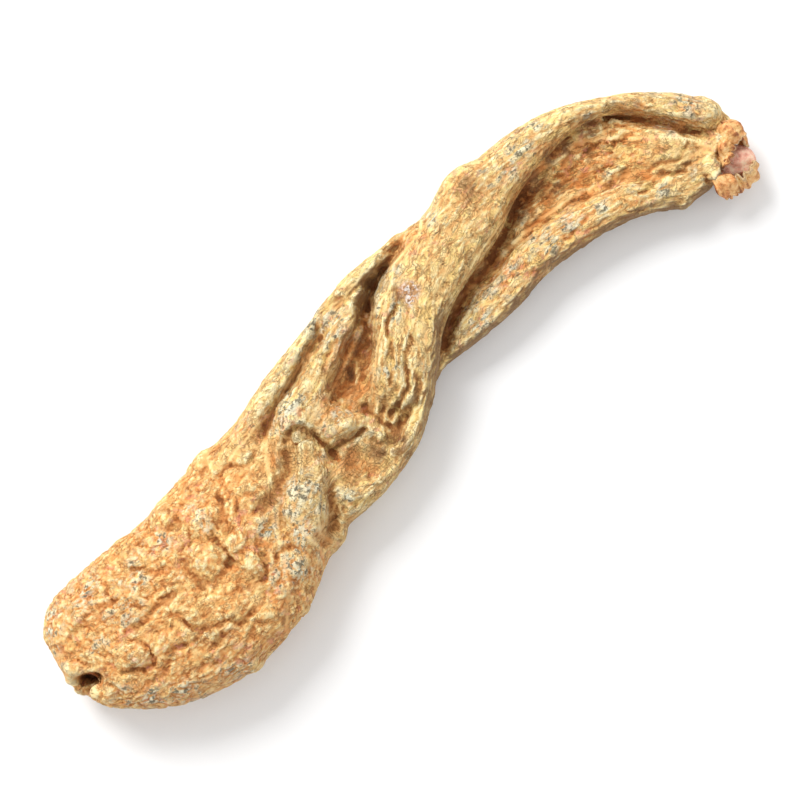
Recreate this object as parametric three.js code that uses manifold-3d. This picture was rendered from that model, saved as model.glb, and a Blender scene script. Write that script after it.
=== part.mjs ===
// A dried tuber lying on its side: a broad, flattened bulb that narrows into a collapsed, twisted neck.
// One fold of the skin, the ribbon, crosses the neck and hangs over the trough beside it. The bulb's
// end has a round scar where the tuber broke off its parent, and the neck's end keeps its dried bud,
// held in four papery scale leaves.
//
// Millimetres. +X runs along the tuber from the scar to the bud, +Y across it, and +Z up from the
// surface it rests on. Every fold is a strand: a closed tube whose flattened sections span two rails.

import * as THREE from "three";
import { mergeVertices } from "three/addons/utils/BufferGeometryUtils.js";
import Module from "manifold-3d";

const wasm = await Module();
wasm.setup();

// ---- Driving dimensions ----
const LENGTH = 131; // overall, scar end to bud end; the rails below are drawn at this length
const DRAWN_LENGTH = 131;
const SCALE = LENGTH / DRAWN_LENGTH;
const GAP = 0.3; // clearance between pieces that touch
const SECTION_FULLNESS = 2.3; // superellipse power of a strand's section: 2 is an ellipse

// ---- Strands ----
// Each rail point is [x, y, z]. On the far rail z is the crest of the section there, and on the near
// rail it is the keel, so a pair of points gives a section's width, top and bottom.

// The body under the folds: thick in the bulb, and only the trough's floor in the neck.
const core = {
  far: [
    [-65.3, -3.2, 8], [-64.5, 1.8, 10], [-61.8, 4.7, 12.5], [-57, 6.2, 14], [-50, 6.7, 15],
    [-43.5, 7.2, 15.4], [-37, 8.6, 15.2], [-31, 10.1, 14.7], [-25, 11, 13.8], [-19, 12.6, 12.6],
    [-12, 15.2, 11.2], [-5, 17.2, 10], [2, 19.3, 8.6], [10, 20.3, 7.4], [18, 20.5, 6.6],
    [24, 22.6, 6.2], [31, 23.1, 6], [38, 23.4, 6], [45, 22.3, 6.2], [52, 19.5, 6.8],
    [58, 16.1, 7.6], [62.6, 12, 7.8], [65.4, 7.6, 7.8], [67.4, 3.4, 7.4], [68.6, -0.4, 7],
  ],
  near: [
    [-65.3, -5.2, 5], [-64.9, -8.8, 3], [-62.6, -12.6, 1.4], [-58, -16.5, 0.2], [-51, -19.6, -0.4],
    [-43, -21, -0.5], [-36, -19.9, -0.3], [-29.5, -18.3, 0], [-23.5, -14.2, 0.3], [-17, -11.2, 0.5],
    [-9.5, -10, 0.8], [-2.5, -7.6, 1], [3.2, -3.4, 1], [9, 0.2, 0.8], [16, 0.6, 0.5],
    [23, 1.5, 0.2], [30, 3.4, 0], [37, 3, -0.2], [43.5, 2.4, -0.3], [48.5, 1, -0.2],
    [52.8, -0.8, 0.2], [56.8, -1, 0.8], [60, -1.8, 1.4], [62.6, -3, 1.8],
  ],
  sides: 26, rings: 56, cap: 0.035,
};

// The long fold. It starts at the bud, forms the neck's far edge, then crosses to the near side.
const ribbon = {
  far: [
    [66, 6.2, 8.8], [63.2, 12, 9.8], [57.6, 16.6, 10.6], [51.2, 20.1, 11], [45, 22.6, 11.2],
    [38, 23.7, 11.4], [31, 23.4, 11.8], [24, 23, 12.4], [17, 20.6, 12.8], [10.5, 18, 13],
    [5.6, 15, 13.2], [2.6, 11.4, 13.2], [-0.2, 7.8, 12.8], [-3.2, 5, 11.6], [-4.4, 1.6, 9.8],
  ],
  near: [
    [62.4, 5, 4], [60, 8.2, 3.2], [56.2, 12.2, 2.6], [51, 17, 2.4], [45, 18.4, 2.2],
    [38.6, 17.2, 2], [32.6, 15.3, 2], [27, 12, 2], [20.6, 9.4, 2.2], [14.6, 7, 2.4],
    [11.4, 4.6, 2.6], [9, 2, 2.6], [6.6, -0.9, 2.4], [3.6, -3.6, 2], [0.4, -5, 2],
  ],
  sides: 14, rings: 34, cap: 0.05,
};

// The neck's near edge, which passes under the ribbon.
const nearLobe = {
  far: [
    [7, 3.4, 6], [14, 5.4, 7.4], [21, 7, 8.2], [28, 9.2, 8.8], [35, 9.6, 9],
    [42, 8.8, 9], [48, 7.4, 8.8], [54, 5.6, 8.6], [60, 4.4, 8.2], [63.4, 2.6, 7.6],
  ],
  near: [
    [7.6, 0.2, 1.8], [13, 0.3, 1], [20.5, 0.8, 0.6], [28, 2.7, 0.4], [35, 3, 0.4],
    [42, 2.6, 0.4], [47.6, 1.2, 0.4], [52.6, -1, 0.8], [57, -1, 1.4], [60, -1.6, 2],
  ],
  sides: 12, rings: 22, cap: 0.06,
};

// The swelling of the trough's floor next to the bud.
const pad = {
  far: [[42, 15.6, 6.2], [47, 16.6, 7.4], [52, 15.8, 8.4], [56, 12, 8.8], [60, 7.6, 8]],
  near: [[42, 8, 3], [47, 6, 3], [52, 4.4, 3], [56.5, 3, 3], [59.6, 3.4, 3]],
  sides: 10, rings: 10, cap: 0.12,
};

// The two folds on the far side of the ribbon, with a crease between them.
const rim = {
  far: [
    [16, 20.7, 9], [8, 20.6, 10], [2, 19.7, 10.6], [-5, 17.5, 11.4], [-12, 15.4, 12],
    [-19, 12.4, 12.6], [-27, 9.6, 12.4],
  ],
  near: [
    [15, 18.4, 4], [8, 17.4, 3.4], [1.6, 16.6, 3], [-5, 14, 3], [-11, 11.4, 3],
    [-17.4, 9, 4], [-25, 5, 6],
  ],
  sides: 10, rings: 18, cap: 0.08,
};

const innerFold = {
  far: [
    [7.4, 18.2, 9.4], [1.4, 17.4, 10.8], [-4.2, 15, 11.8], [-9.4, 12.4, 12.6], [-14, 10.6, 13.2],
    [-17.6, 8.8, 13.6], [-19.4, 5.6, 13.4],
  ],
  near: [
    [6.8, 16.4, 4], [2, 13.6, 4], [-2.4, 10.6, 4], [-6.6, 7.4, 4], [-9.8, 4.6, 4],
    [-13, 3, 4], [-15.8, 2.6, 4],
  ],
  sides: 10, rings: 16, cap: 0.1,
};

// A short fold that comes off the inner fold and points at the ribbon's foot.
const tongue = {
  far: [[-11, 9.4, 12.6], [-8.8, 6.4, 12.8], [-7, 4, 12.4], [-5.4, 2, 11.4], [-4.4, 0.6, 10.2]],
  near: [[-17, 5.6, 5], [-14.8, 3.2, 5], [-12.8, 0.6, 5], [-9.6, -0.8, 5], [-6.6, -0.8, 5]],
  sides: 10, rings: 12, cap: 0.14,
};

// The knuckle where the neck joins the bulb.
const knuckle = {
  far: [
    [-18, 4, 12], [-19.4, 1.6, 13.4], [-22, -0.8, 14.4], [-25, -3.4, 14.8], [-27, -7.4, 14.2],
    [-27, -11.6, 12.2], [-26, -14, 9.4],
  ],
  near: [
    [-14.8, 5, 5], [-13.8, 1.6, 5], [-14.2, -2.4, 5], [-16.4, -5.2, 5], [-18.6, -8.6, 5],
    [-21.6, -11.2, 4], [-23.6, -13.4, 4],
  ],
  sides: 12, rings: 14, cap: 0.1,
};

// The ribbon's continuation along the near side, down to the knuckle.
const belly = {
  far: [
    [3.4, 1, 10.6], [-1, -2.6, 10.6], [-5, -4.6, 10.4], [-10, -5.8, 10.6], [-14, -5.2, 11.2],
    [-17, -6.4, 10.6],
  ],
  near: [
    [5.4, -2, 2], [1.4, -5, 1.4], [-3.4, -8, 1], [-9.5, -10.2, 0.8], [-14.4, -11, 0.8],
    [-17.6, -11, 1.4],
  ],
  sides: 10, rings: 14, cap: 0.1,
};

// ---- The scar and the bud ----
// A tilted ellipsoid is scooped out of the bulb's end to leave the scar's pit.
const scar = { at: [-63.3, -8, 9.6], radii: [2.6, 1.9, 4.2], lean: 0.5 };

// The bud leaves the neck along this axis. The seat is the plane where the neck ends.
const bud = {
  seat: [61.3, 2.3, 4.9],
  heading: -0.88, // turn from +X, in radians about Z
  length: 5,
  radii: [2.5, 2], // across and up
};
// Each scale leaf wraps part of the bud: its middle's angle round the bud, half the angle that its
// foot takes, how far along the bud its tip reaches, and how far that tip flares outwards.
const scaleLeaves = [
  { name: "bud_scale_far", angle: 3.1, halfWrap: 0.74, reach: 3.2, flare: 0.5 },
  { name: "bud_scale_top", angle: 1.56, halfWrap: 0.7, reach: 2.2, flare: 0.2 },
  { name: "bud_scale_near", angle: 0.02, halfWrap: 0.74, reach: 3.8, flare: 2.4 },
  { name: "bud_scale_under", angle: -1.54, halfWrap: 0.74, reach: 5.4, flare: 0.2 },
];
const SCALE_THICKNESS = 0.7;
const SCALE_TIP = 0.3; // the tip's width as a share of the foot's

// ---- Building blocks ----
const railOf = (points) =>
  new THREE.CatmullRomCurve3(points.map(([x, y, z]) => new THREE.Vector3(x, y, z)), false, "centripetal");

// How full a section is at t along its strand: 1 in the middle, rounding to 0 at both ends.
const roundedEnd = (t, cap) => {
  const inside = Math.min(1, Math.min(t, 1 - t) / cap);
  return Math.sqrt(Math.max(0, 1 - (1 - inside) ** 2));
};

const superellipse = (value) => Math.sign(value) * Math.abs(value) ** (2 / SECTION_FULLNESS);

// Whether the far rail lies to the right of the way that the rails are drawn.
function farIsRight(farRail, nearRail) {
  const way = farRail.getTangent(0.5);
  const toFar = farRail.getPoint(0.5).sub(nearRail.getPoint(0.5));
  return way.x * toFar.y - way.y * toFar.x < 0;
}

// A closed tube along two rails: a sphere whose poles are the strand's ends. A strand whose far rail
// is on its right runs from its other end, so that its faces still point outwards.
function strandGeometry({ far, near, sides, rings, cap }) {
  const farRail = railOf(far);
  const nearRail = railOf(near);
  const backwards = farIsRight(farRail, nearRail);
  const geometry = new THREE.SphereGeometry(1, sides, rings);
  const position = geometry.getAttribute("position");
  const point = new THREE.Vector3();
  for (let i = 0; i < position.count; i++) {
    point.fromBufferAttribute(position, i);
    const along = Math.acos(THREE.MathUtils.clamp(point.y, -1, 1)) / Math.PI;
    const t = backwards ? 1 - along : along;
    const around = Math.atan2(point.z, point.x);
    const full = roundedEnd(t, cap);
    const f = farRail.getPoint(t);
    const n = nearRail.getPoint(t);
    const across = superellipse(Math.cos(around)) * full;
    const up = superellipse(Math.sin(around)) * full;
    position.setXYZ(
      i,
      (f.x + n.x) / 2 + ((f.x - n.x) / 2) * across,
      (f.y + n.y) / 2 + ((f.y - n.y) / 2) * across,
      (f.z + n.z) / 2 + ((f.z - n.z) / 2) * up,
    );
  }
  return geometry;
}

// A three.js geometry as a manifold-3d solid.
function solidOf(geometry) {
  const bare = geometry.clone();
  bare.deleteAttribute("normal");
  bare.deleteAttribute("uv");
  const merged = mergeVertices(bare, 1e-4);
  return new wasm.Manifold(
    new wasm.Mesh({
      numProp: 3,
      vertProperties: new Float32Array(merged.getAttribute("position").array),
      triVerts: new Uint32Array(merged.index.array),
    }),
  );
}

// The way back: a solid's vertices and triangles as a flat-shaded BufferGeometry.
function geometryOf(solid) {
  const mesh = solid.getMesh();
  const geometry = new THREE.BufferGeometry();
  geometry.setAttribute("position", new THREE.BufferAttribute(new Float32Array(mesh.vertProperties), 3));
  geometry.setIndex(new THREE.BufferAttribute(new Uint32Array(mesh.triVerts), 1));
  return geometry;
}

// The largest of a solid's surfaces, so hollows shut in between strands are filled.
function outerShell(solid) {
  const shells = solid.decompose();
  return shells.reduce((largest, shell) => (shell.volume() > largest.volume() ? shell : largest));
}

// A box that fills everything on one side of a plane through `at`, facing along `heading`.
function halfSpace(at, heading, offset) {
  const reach = 60;
  const box = new THREE.BoxGeometry(reach, reach, reach).translate(offset + reach / 2, 0, 0);
  return solidOf(box.rotateZ(heading).translate(...at));
}

// ---- The tuber's body ----
function tuberBody() {
  const folds = [ribbon, nearLobe, pad, rim, innerFold, tongue, knuckle, belly];
  let body = solidOf(strandGeometry(core));
  for (const fold of folds) body = body.add(solidOf(strandGeometry(fold)));

  const pit = new THREE.SphereGeometry(1, 20, 14).scale(...scar.radii);
  body = body.subtract(solidOf(pit.rotateY(scar.lean).translate(...scar.at)));

  // The bud's seat ends the neck, and the surface it dried on presses flat spots into its underside.
  body = body.subtract(halfSpace(bud.seat, bud.heading, 0));
  const tray = new THREE.BoxGeometry(200, 100, 20).translate(0, 0, -10);
  return outerShell(body.subtract(solidOf(tray)));
}

// ---- The bud ----
// A point in the bud's own frame (along, across, up) as a point of the tuber's frame.
function fromBud(along, across, up) {
  const point = new THREE.Vector3(along, across, up);
  return point.applyAxisAngle(new THREE.Vector3(0, 0, 1), bud.heading).add(new THREE.Vector3(...bud.seat));
}

// The blunt, slightly flattened tip.
function budGeometry() {
  const geometry = new THREE.SphereGeometry(1, 18, 12);
  const position = geometry.getAttribute("position");
  const half = (bud.length - GAP) / 2;
  for (let i = 0; i < position.count; i++) {
    const along = GAP + half * (1 - position.getY(i));
    const p = fromBud(along, position.getX(i) * bud.radii[0], position.getZ(i) * bud.radii[1]);
    position.setXYZ(i, p.x, p.y, p.z);
  }
  return geometry;
}

// A thin leaf bent round the bud, with a full foot on the seat and a narrower, flared tip.
function scaleGeometry({ angle, halfWrap, reach, flare }) {
  const geometry = new THREE.BoxGeometry(2, 1, 1, 10, 8, 1);
  const position = geometry.getAttribute("position");
  for (let i = 0; i < position.count; i++) {
    const rise = position.getY(i) + 0.5;
    const width = THREE.MathUtils.lerp(1, SCALE_TIP, rise ** 3);
    const turn = angle - halfWrap * width * position.getX(i);
    const out = GAP + SCALE_THICKNESS * (position.getZ(i) + 0.5) + flare * rise * rise;
    const p = fromBud(
      GAP + (reach - GAP) * rise,
      -Math.cos(turn) * (bud.radii[0] + out),
      Math.sin(turn) * (bud.radii[1] + out),
    );
    position.setXYZ(i, p.x, p.y, p.z);
  }
  return geometry;
}

// ---- Materials ----
const skin = new THREE.MeshStandardMaterial({ color: 0xd9ab66, roughness: 0.85, metalness: 0 });
const budFlesh = new THREE.MeshStandardMaterial({ color: 0xd98f78, roughness: 0.75, metalness: 0 });
const papery = new THREE.MeshStandardMaterial({ color: 0xc98a50, roughness: 0.8, metalness: 0 });

// ---- Assembly ----
function piece(name, geometry, material) {
  const mesh = new THREE.Mesh(geometry, material);
  mesh.name = name;
  return mesh;
}

const tuber = new THREE.Group();
const bodyMesh = piece("tuber_body", geometryOf(tuberBody()), skin);
tuber.add(bodyMesh);
tuber.add(piece("bud", budGeometry(), budFlesh));
for (const leaf of scaleLeaves) tuber.add(piece(leaf.name, scaleGeometry(leaf), papery));

// The origin is under the middle of the whole tuber, on the surface it rests on.
const bounds = new THREE.Box3().setFromObject(tuber);
const middle = bounds.getCenter(new THREE.Vector3());
tuber.position.set(-middle.x * SCALE, -middle.y * SCALE, -bounds.min.z * SCALE);
tuber.scale.setScalar(SCALE);

const part = new THREE.Group();
part.add(tuber);
export default part;
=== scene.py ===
# A dried tuber lying on its side. The broad bulb ends in a round scar, and the collapsed neck, with one
# fold of skin crossing over it, ends in a pinkish bud held by four papery scale leaves.
# Metres. +X runs from the scar to the bud, +Y across the tuber, +Z up from the table.

import bmesh
import bpy
import numpy as np
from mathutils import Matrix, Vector


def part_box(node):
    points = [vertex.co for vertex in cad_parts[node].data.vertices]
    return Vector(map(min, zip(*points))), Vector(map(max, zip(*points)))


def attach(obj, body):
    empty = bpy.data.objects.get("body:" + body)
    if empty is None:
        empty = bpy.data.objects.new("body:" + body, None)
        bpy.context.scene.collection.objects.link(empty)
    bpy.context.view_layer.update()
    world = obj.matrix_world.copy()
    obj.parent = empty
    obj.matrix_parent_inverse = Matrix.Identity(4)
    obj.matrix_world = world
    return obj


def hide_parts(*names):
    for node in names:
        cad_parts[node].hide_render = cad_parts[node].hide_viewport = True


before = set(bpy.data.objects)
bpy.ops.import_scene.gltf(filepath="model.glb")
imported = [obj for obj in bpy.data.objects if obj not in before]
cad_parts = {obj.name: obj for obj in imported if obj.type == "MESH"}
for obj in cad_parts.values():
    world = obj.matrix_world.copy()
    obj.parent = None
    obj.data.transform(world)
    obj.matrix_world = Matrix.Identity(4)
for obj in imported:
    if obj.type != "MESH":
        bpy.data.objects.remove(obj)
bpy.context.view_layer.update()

# ==== The tuber's body ====
# One piece of dried plant flesh in its own thin skin. As it dried it lost most of its water, so the skin
# sank into lengthwise folds over the neck and a pebbled net of wrinkles over the bulb.

MM = 0.001
MERGE_DISTANCE = 0.001 * MM
SKIN_GRID = 0.285 * MM  # spacing of the skin's mesh
SKIN_SOFTENING = 34  # rounds
SKIN_TRIANGLES = 198000
SKIN_HEIGHT = 15.6  # mm, over the tallest wrinkle

# Folds and creases are placed in mm on the tuber's plan, seen from above. The body's own box has its
# scar end at x -65.3 there, and its near side at y -21.
PLAN_CORNER = np.array([-65.3, -21.0])
body_corner = np.array(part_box("tuber_body")[0]) / MM


def new_object(name, mesh):
    made = bpy.data.objects.new(name, mesh)
    bpy.context.scene.collection.objects.link(made)
    return made


def finished_mesh(obj):
    """The object's mesh with its modifiers worked in, as a new plain mesh."""
    depsgraph = bpy.context.evaluated_depsgraph_get()
    return bpy.data.meshes.new_from_object(obj.evaluated_get(depsgraph), depsgraph=depsgraph)


def points_mm(mesh):
    flat = np.empty(len(mesh.vertices) * 3, np.float32)
    mesh.vertices.foreach_get("co", flat)
    return flat.reshape(-1, 3).astype(float) / MM


def set_points_mm(mesh, points):
    mesh.vertices.foreach_set("co", (points * MM).astype(np.float32).ravel())
    mesh.update()


def outward(mesh):
    flat = np.empty(len(mesh.vertices) * 3, np.float32)
    mesh.vertex_normals.foreach_get("vector", flat)
    return flat.reshape(-1, 3).astype(float)


def edge_points(mesh):
    """The two points of each edge."""
    ends = np.empty(len(mesh.edges) * 2, np.int32)
    mesh.edges.foreach_get("vertices", ends)
    return ends.reshape(-1, 2)


def store(mesh, name, values):
    """Keeps one number, or one vector, for each point of the mesh."""
    vector = values.ndim == 2
    made = mesh.attributes.new(name, "FLOAT_VECTOR" if vector else "FLOAT", "POINT")
    made.data.foreach_set("vector" if vector else "value", values.astype(np.float32).ravel())


def ease(value, low, high):
    """0 below low, 1 above high, and a smooth step between them."""
    t = np.clip((value - low) / (high - low), 0, 1)
    return t * t * (3 - 2 * t)


def through(points, t):
    """The smooth (Catmull-Rom) run through a row of points, at places t counted in points from the first."""
    p = np.array(points, float)
    p = np.concatenate([2 * p[:1] - p[1:2], p, 2 * p[-1:] - p[-2:-1]])
    i = np.clip(t.astype(int), 0, len(p) - 4)
    f = (t - i).reshape(-1, *[1] * (p.ndim - 1))
    a, b, c, d = p[i], p[i + 1], p[i + 2], p[i + 3]
    return b + 0.5 * f * (c - a + f * (2 * a - 5 * b + 4 * c - d + f * (3 * b - a - 3 * c + d)))


def smooth_line(points, step):
    """A smooth line through given points, with a point about every step mm."""
    length = np.linalg.norm(np.diff(points, axis=0), axis=1).sum()
    return through(points, np.linspace(0, len(points) - 1, max(3, int(length / step))))


def measure(plan, line):
    """For each point of the plan: how far along the line it lies, and how far off it, to the left."""
    start, leg = line[:-1], np.diff(line, axis=0)
    length = np.linalg.norm(leg, axis=1)
    before = np.concatenate([[0], np.cumsum(length)[:-1]])
    along, off = np.empty(len(plan)), np.empty(len(plan))
    batch = 8000
    for first in range(0, len(plan), batch):
        some = slice(first, first + batch)
        to = plan[some, None, :] - start[None]
        t = np.clip((to * leg).sum(2) / length**2, 0, 1)
        gap = np.linalg.norm(to - t[..., None] * leg, axis=2)
        best = gap.argmin(1)
        rows = np.arange(len(best))
        left = leg[best, 0] * to[rows, best, 1] - leg[best, 1] * to[rows, best, 0]
        along[some] = before[best] + t[rows, best] * length[best]
        off[some] = gap[rows, best] * np.where(left < 0, -1, 1)
    return along, off


def on_plan(points):
    """Points of the body's mesh, in mm, as places on the tuber's plan."""
    return points[:, :2] - body_corner[:2] + PLAN_CORNER


def far_from(plan, x, y, radius):
    """How far each point of the plan lies from a place, counted in radii."""
    return np.hypot(plan[:, 0] - x, plan[:, 1] - y) / radius


def ripple(x, y, seed):
    """A smooth, repeatable unevenness between about -1 and 1."""
    total = np.zeros(np.broadcast(x, y).shape)
    for octave in range(1, 5):
        turn = seed * 1.7 + octave * 2.1
        total = total + np.sin(octave * (1.9 * x * np.cos(turn) + 1.9 * y * np.sin(turn)) + 3 * turn) / octave
    return total / 1.6


# -- Its form: the solid's strands, evened out and softened into one skin --
form_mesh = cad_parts["tuber_body"].data.copy()
merged = bmesh.new()
merged.from_mesh(form_mesh)
bmesh.ops.remove_doubles(merged, verts=merged.verts, dist=MERGE_DISTANCE)
merged.to_mesh(form_mesh)
merged.free()
form = new_object("form", form_mesh)
even = form.modifiers.new("even", "REMESH")
even.mode = "VOXEL"
even.voxel_size = SKIN_GRID
soften = form.modifiers.new("soften", "SMOOTH")
soften.factor = 0.5
soften.iterations = SKIN_SOFTENING
form.data = finished_mesh(form)
form.modifiers.clear()
# The underside is seen least, so it gives up points for the top's finer wrinkles.
underside = form.vertex_groups.new(name="underside")
below = ease(-outward(form.data)[:, 2], 0.25, 0.6)
for weight in (0.5, 1.0):
    underside.add([int(i) for i in np.flatnonzero(below >= weight)], weight, "REPLACE")
thin = form.modifiers.new("thin", "DECIMATE")
thin.vertex_group = underside.name
thin.vertex_group_factor = 2
thin.ratio = SKIN_TRIANGLES / (2 * len(form.data.polygons))
skin_mesh = finished_mesh(form)
bpy.data.objects.remove(form)

# -- Swellings and hollows, each (x, y, radius, height or depth) --
SWELLINGS = [
    (-64.3, -8.2, 1, 0.9), (14.5, 20.8, 2, 0.8), (26.5, 23.4, 3, 0.7), (64.9, 9.8, 2.5, 0.7),
    (-19.8, -12.5, 2, 0.8), (-65.2, -6.8, 1.5, 0.7), (-17, 13.8, 4, 0.4), (-29.7, 10.1, 2, 0.4),
    (-0.4, -7.1, 3, 0.3), (25.1, 1.7, 3, 0.3), (19.4, 21.1, 2, -0.5), (6.6, -1, 2, -0.3),
    (-32.4, -19.3, 2, -0.3), (-37, -2.8, 2.6, 1.2), (-31.8, -3.2, 1.6, 0.8), (-31.8, -7.2, 1.8, 1),
    (-34.8, 2.2, 2.2, 1), (-54.2, -7.8, 2.4, 1.1), (-62.2, -9.4, 1, 0.9), (-38.6, 6, 2.2, 0.7),
    (-43.6, -7.4, 1.8, 0.5), (-49, -9.6, 2, 0.5), (-57.4, -10.8, 1.8, 0.5), (-47.4, 4.6, 2.4, 0.5),
    (-26.6, 2.2, 2.2, 0.6), (-24.4, 7.6, 2, 0.5), (-34, -15.4, 2.2, 0.5), (-38.4, -9.8, 2.2, 0.5),
    (-52, 3.4, 2, 0.4), (-28.4, -3.2, 1.6, 0.5), (-48.4, -1.4, 1.3, 0.5), (-45.8, -6.6, 1.2, 0.5),
    (-45.5, -10.4, 1.2, 0.5), (-30.2, -12.8, 1.8, 0.5), (-58, 1.6, 2, 0.5), (-61, -11.2, 1.2, 0.7),
    (-6.2, -1.2, 0.9, 0.6), (-5.4, -2.8, 0.9, 0.8), (-5.6, -5.4, 1.1, 0.6), (-15.4, 3, 1.6, 0.9),
    (-8.4, 1.6, 1.1, 0.8), (-21.6, -3.6, 2.6, 0.7), (-14.8, -6.8, 1.6, 0.8), (-11.5, -5.2, 1.4, 0.4),
    (54, 8.6, 3.4, 0.6), (29, 5.6, 1.5, 0.5), (46, 5.6, 2.2, 0.4), (19.6, 19.4, 1.8, 0.4),
    (-26.6, -11.6, 1.9, 0.6), (-14.4, 7.6, 2.4, 0.5), (59, 2.6, 1.6, 0.5), (58.6, 0.4, 1, 0.8),
    (63, 4.4, 1.4, 0.7), (52.6, -0.6, 1.1, 0.4), (-40.8, -20.4, 1.4, 0.5),
]
HOLLOWS = [
    (-63.4, -6.9, 0.7, 1.2), (-62.2, -7.5, 0.9, 2), (-61, -8, 0.9, 2.4), (-5.4, 6.8, 2.6, 1.5),
    (-1.4, 9.8, 2.2, 1.4), (-12.8, -0.9, 1.1, 1.3), (-10.8, -3.2, 2, 0.9), (-4.6, 1.6, 1, 0.5),
    (9, 17.6, 1.1, 0.9), (6.4, 16.5, 1.2, 1.4), (4, 14.8, 1.4, 1.7), (-19, -9.2, 1.3, 0.7),
    (44.6, 16.8, 1.8, 0.5), (48, 17.4, 1.4, 0.3), (60, 7.6, 0.9, 0.3), (24, 9.4, 1.2, 0.9),
    (33, 14, 1.4, 1.2), (-34.3, -5.6, 0.9, 0.4), (-52, -12, 0.9, 0.3), (48.4, 12.6, 1, 0.6),
    (45.6, 14.1, 1.2, 0.5), (42.2, 11.4, 1, 0.5), (36, 13.4, 2, 0.8), (59, -0.4, 0.7, 0.7),
    (-20.4, -11.4, 1.5, 0.8),
]

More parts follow.
